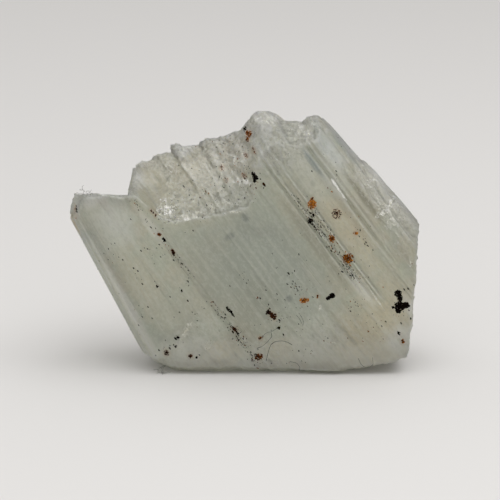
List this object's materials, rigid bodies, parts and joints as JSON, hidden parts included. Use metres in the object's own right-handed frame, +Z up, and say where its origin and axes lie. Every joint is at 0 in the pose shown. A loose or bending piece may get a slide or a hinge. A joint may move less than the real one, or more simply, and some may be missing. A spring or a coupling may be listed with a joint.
{
  "type": "barite crystal",
  "caption": "Tabular translucent barite crystal with slanting growth lines, a smooth front, splintery broken top and flat broken foot that it stands on.",
  "frame": {"origin": "on the surface it stands on, under the middle of its bounding box", "axes": "+Z up from the broken foot, +X across the width towards the high right shoulder, -Y out of the smooth front face"},
  "size_m": [0.03, 0.01, 0.0224],
  "materials": {
    "barite": "gloss"
  },
  "bodies": {
    "root": {"barite_crystal": "barite"}
  },
  "joints": []
}
